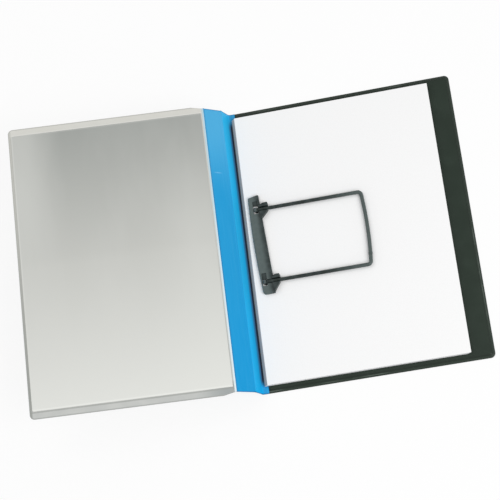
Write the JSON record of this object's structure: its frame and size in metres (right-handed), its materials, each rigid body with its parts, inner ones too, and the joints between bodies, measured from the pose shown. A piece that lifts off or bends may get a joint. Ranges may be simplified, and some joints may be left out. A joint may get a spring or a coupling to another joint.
{
  "type": "clip binder",
  "caption": "Open A4 clip binder with folding cover, coloured spine band, filing clip with a hinged bow, and punched sheets.",
  "frame": {"origin": "centre of the back cover's underside, on the table", "axes": "+X from the spine to the back cover's free edge, +Y up the page, +Z off the table"},
  "size_m": [0.4696, 0.317, 0.064],
  "materials": {
    "black_foil": "satin green-black welded foil with fine grain",
    "greyboard": "raw grey board, sealed inside the foils",
    "blue_foil": "smooth soft foil with a satin gloss",
    "frosted_foil": "frosted translucent foil",
    "clip_plastic": "moulded satin plastic, dark grey-green",
    "white_paper": "plain white copy paper"
  },
  "bodies": {
    "back_cover": {"back_cover_outer_foil": "black_foil", "back_cover_board": "greyboard", "back_cover_inner_foil": "black_foil", "spine_band_weld_strip": "blue_foil", "clip_base": "clip_plastic", "paper_bundle_1": "white_paper", "paper_bundle_2": "white_paper", "paper_bundle_3": "white_paper"},
    "spine": {"spine_band_panel": "blue_foil"},
    "front_strip": {"spine_band_front_strip": "blue_foil"},
    "front_cover": {"front_cover_sheet": "frosted_foil", "front_pocket_sheet": "frosted_foil"},
    "press_strip": {"press_strip": "clip_plastic"},
    "bow": {"bow_fixed_half": "clip_plastic", "bow_lower_root": "clip_plastic"},
    "bow_gate": {"bow_gate_half": "clip_plastic"}
  },
  "joints": [
    {"name": "spine_fold", "type": "hinge", "parent": "back_cover", "child": "spine", "pos_m": [-0.12, 0, 0.00105], "axis": [0, 1, 0], "range_deg": [-5, 18]},
    {"name": "front_strip_fold", "type": "hinge", "parent": "spine", "child": "front_strip", "pos_m": [-0.12525, 0, 0.01722], "axis": [0, 1, 0], "range_deg": [-5, 119.5]},
    {"name": "front_cover_fold", "type": "hinge", "parent": "front_strip", "child": "front_cover", "pos_m": [-0.14184, 0, 0.03242], "axis": [0, 1, 0], "range_deg": [-5, 34]},
    {"name": "press_strip_slide", "type": "slide", "parent": "back_cover", "child": "press_strip", "axis": [0, 0, -1], "range_m": [-0.012, 0]},
    {"name": "bow_fold", "type": "hinge", "parent": "back_cover", "child": "bow", "pos_m": [-0.1023, 0, 0.01005], "axis": [0, 1, 0], "range_deg": [-90, 0]},
    {"name": "bow_opening", "type": "hinge", "parent": "bow", "child": "bow_gate", "pos_m": [-0.0855, -0.04, 0.01005], "axis": [0, 0, 1], "range_deg": [-8, 0], "stiffness_Nm_per_rad": 0.01}
  ]
}
